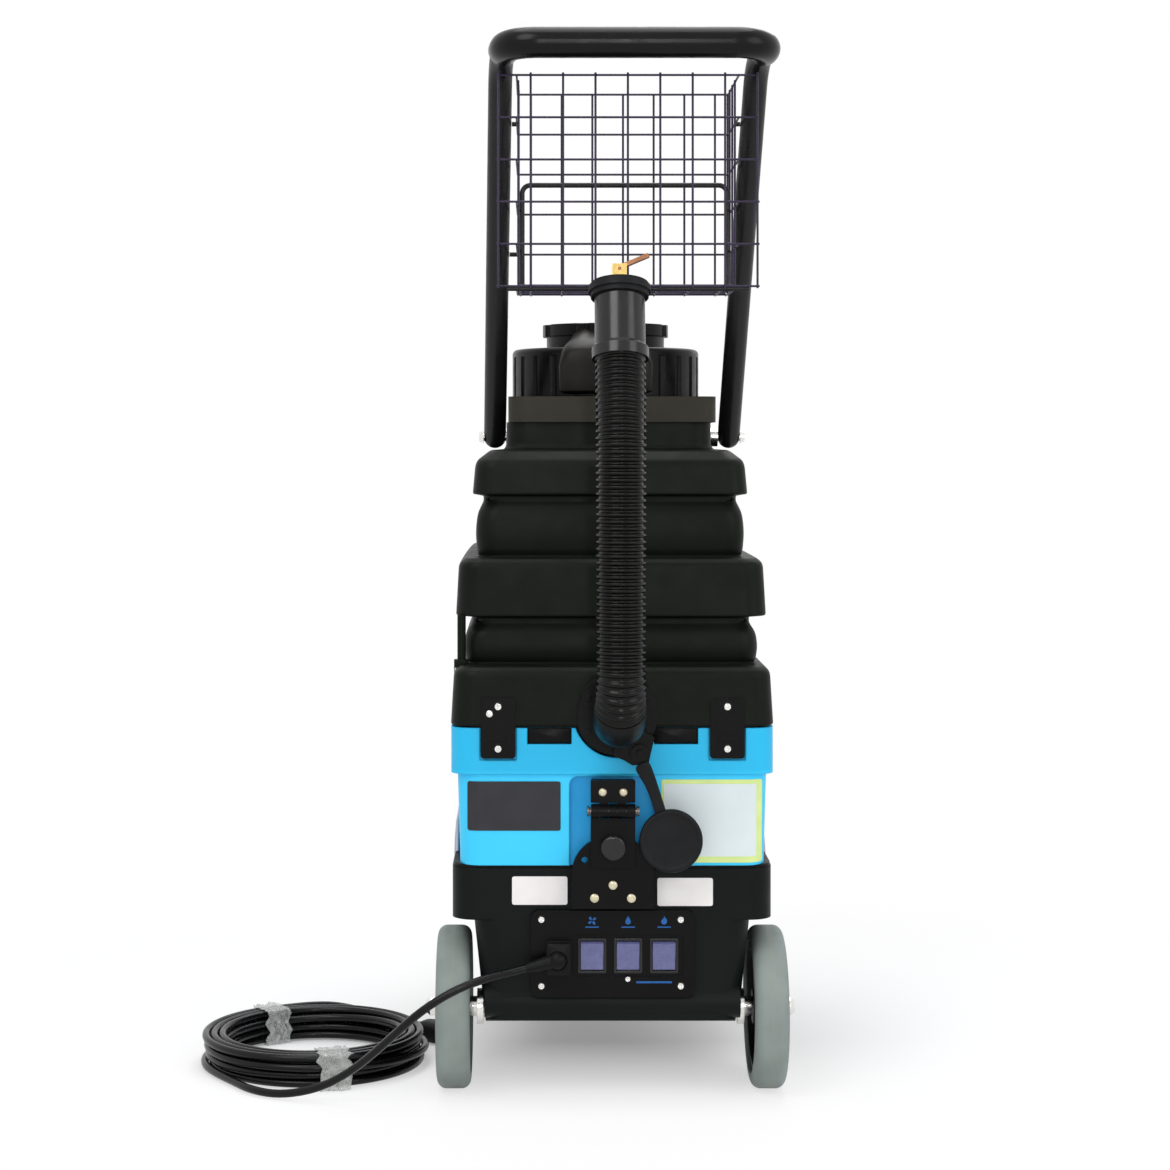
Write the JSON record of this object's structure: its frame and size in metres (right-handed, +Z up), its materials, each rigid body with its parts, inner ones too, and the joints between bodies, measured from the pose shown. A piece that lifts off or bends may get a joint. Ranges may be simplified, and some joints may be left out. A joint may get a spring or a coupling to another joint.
{
  "type": "portable carpet extractor",
  "caption": "Wheeled carpet extractor with stacked solution and recovery tanks, leaning handle with wire basket, ribbed drain hose and coiled mains cord",
  "frame": {"origin": "on the floor, at the middle of the machine's footprint box without its cord", "axes": "+X to the right seen from the rear, +Y to the front, +Z up"},
  "size_m": [0.5789, 0.609, 0.985],
  "materials": {
    "black_plastic": "moulded, fine grain",
    "blue_plastic": "moulded, satin",
    "black_rubber": "smooth",
    "grey_tyre": "smooth grey rubber",
    "hub_plastic": "moulded",
    "painted_black": "powder coated",
    "bright_steel": "plated",
    "plain_steel": "turned",
    "brass": "turned",
    "gloss_black": "glossy",
    "violet_switch": "moulded",
    "cable_sheath": "satin sheath",
    "clear_tie": "translucent band",
    "cast_metal": "cast"
  },
  "bodies": {
    "base": {"base_housing": "black_plastic", "base_seal": "black_rubber", "rear_axle": "plain_steel", "axle_hardware": "bright_steel", "caster_plates": "plain_steel", "control_panel": "painted_black", "switch_bezels": "gloss_black", "base_screws": "bright_steel", "hinge_base_plate": "painted_black", "hinge_lower_leaf": "painted_black", "hinge_pin": "bright_steel", "vacuum_motor": "cast_metal", "pump_and_heater": "plain_steel", "terminal_box": "hub_plastic", "solution_coupler": "brass", "cord_gland": "black_rubber", "mains_lead": "cable_sheath", "cord_coil": "cable_sheath", "mains_plug": "gloss_black", "cord_ties": "clear_tie"},
    "left_wheel": {"left_wheel_hub": "hub_plastic", "left_wheel_tyre": "grey_tyre"},
    "right_wheel": {"right_wheel_hub": "hub_plastic", "right_wheel_tyre": "grey_tyre"},
    "left_caster": {"left_caster_fork": "bright_steel"},
    "left_caster_roller": {"left_caster_wheel": "grey_tyre"},
    "right_caster": {"right_caster_fork": "bright_steel"},
    "right_caster_roller": {"right_caster_wheel": "grey_tyre"},
    "left_switch": {"left_rocker": "violet_switch"},
    "middle_switch": {"middle_rocker": "violet_switch"},
    "right_switch": {"right_rocker": "violet_switch"},
    "latch": {"latch_knob": "black_rubber"},
    "fan": {"vacuum_fan": "cast_metal"},
    "tanks": {"hinge_upper_leaf": "painted_black", "solution_tank": "blue_plastic", "recovery_tank": "black_plastic", "tank_fittings": "black_plastic", "tank_brackets": "painted_black", "tank_screws": "bright_steel", "tank_pipes": "black_plastic", "deck_collar": "black_plastic", "lid_gasket": "black_rubber", "pivot_bolts": "bright_steel", "drain_port": "black_rubber", "drain_hose": "gloss_black", "drain_cuff": "gloss_black"},
    "fill_closure": {"fill_cap": "black_plastic"},
    "float": {"float_ball": "blue_plastic"},
    "lid_part": {"lid": "black_plastic"},
    "small_cap": {"lid_cap": "black_plastic"},
    "plug_part": {"drain_plug": "black_rubber", "drain_stem": "brass"},
    "plug_lever": {"drain_lever": "brass"},
    "strap_part": {"strap_cap": "black_rubber"},
    "handle": {"handle_frame": "painted_black", "grip_sleeve": "gloss_black", "basket_rear_grid": "painted_black", "basket_inner_grids": "painted_black", "basket_floor_grid": "painted_black", "basket_supports": "painted_black"}
  },
  "joints": [
    {"name": "left_wheel_roll", "type": "hinge", "parent": "base", "child": "left_wheel", "pos_m": [-0.1485, -0.104, 0.0762], "axis": [1, 0, 0], "continuous": true},
    {"name": "left_caster_swivel", "type": "hinge", "parent": "base", "child": "left_caster", "pos_m": [-0.084, 0.222, 0.066], "axis": [0, 0, 1], "continuous": true},
    {"name": "left_caster_roll", "type": "hinge", "parent": "left_caster", "child": "left_caster_roller", "pos_m": [-0.084, 0.24, 0.0275], "axis": [1, 0, 0], "continuous": true},
    {"name": "right_wheel_roll", "type": "hinge", "parent": "base", "child": "right_wheel", "pos_m": [0.1485, -0.104, 0.0762], "axis": [1, 0, 0], "continuous": true},
    {"name": "right_caster_swivel", "type": "hinge", "parent": "base", "child": "right_caster", "pos_m": [0.084, 0.222, 0.066], "axis": [0, 0, 1], "continuous": true},
    {"name": "right_caster_roll", "type": "hinge", "parent": "right_caster", "child": "right_caster_roller", "pos_m": [0.084, 0.24, 0.0275], "axis": [1, 0, 0], "continuous": true},
    {"name": "left_switch_rock", "type": "hinge", "parent": "base", "child": "left_switch", "pos_m": [-0.019, -0.171, 0.139], "axis": [1, 0, 0], "range_deg": [-16, 0]},
    {"name": "middle_switch_rock", "type": "hinge", "parent": "base", "child": "middle_switch", "pos_m": [0.0143, -0.171, 0.139], "axis": [1, 0, 0], "range_deg": [-16, 0]},
    {"name": "right_switch_rock", "type": "hinge", "parent": "base", "child": "right_switch", "pos_m": [0.0476, -0.171, 0.139], "axis": [1, 0, 0], "range_deg": [-16, 0]},
    {"name": "latch_turn", "type": "hinge", "parent": "base", "child": "latch", "pos_m": [0, -0.187, 0.242], "axis": [0, 1, 0], "range_deg": [0, 90]},
    {"name": "fan_spin", "type": "hinge", "parent": "base", "child": "fan", "pos_m": [0, 0.07, 0.12], "axis": [0, 0, 1], "continuous": true},
    {"name": "tank_tilt", "type": "hinge", "parent": "base", "child": "tanks", "pos_m": [0, -0.189, 0.275], "axis": [1, 0, 0], "range_deg": [0, 60]},
    {"name": "fill_cap_turn", "type": "hinge", "parent": "tanks", "child": "fill_closure", "pos_m": [0, 0.29, 0.274], "axis": [0, 1, 0], "range_deg": [0, 180]},
    {"name": "float_rise", "type": "slide", "parent": "tanks", "child": "float", "axis": [0, 0, 1], "range_m": [0, 0.02]},
    {"name": "lid_lift", "type": "slide", "parent": "tanks", "child": "lid_part", "axis": [0, 0, 1], "range_m": [0, 0.05]},
    {"name": "small_cap_turn", "type": "hinge", "parent": "lid_part", "child": "small_cap", "pos_m": [0, 0.062, 0.72], "axis": [0, 0, 1], "range_deg": [0, 180]},
    {"name": "drain_plug_pull", "type": "slide", "parent": "tanks", "child": "plug_part", "axis": [0, 0.2756, 0.9613], "range_m": [0, 0.03]},
    {"name": "drain_lever_flip", "type": "hinge", "parent": "plug_part", "child": "plug_lever", "pos_m": [0.004, -0.24145, 0.76852], "axis": [0, 0.9613, -0.2756], "range_deg": [-90, 0]},
    {"name": "strap_hang", "type": "hinge", "parent": "tanks", "child": "strap_part", "pos_m": [0.024, -0.1935, 0.3192], "axis": [1, 0, 0], "range_deg": [-60, 0]},
    {"name": "handle_fold", "type": "hinge", "parent": "tanks", "child": "handle", "pos_m": [0.0055, 0.03, 0.62], "axis": [1, 0, 0], "range_deg": [-85, 0]}
  ],
  "couplings": [
    {"joint": "strap_hang", "follows": "tank_tilt", "ratio": -1}
  ]
}
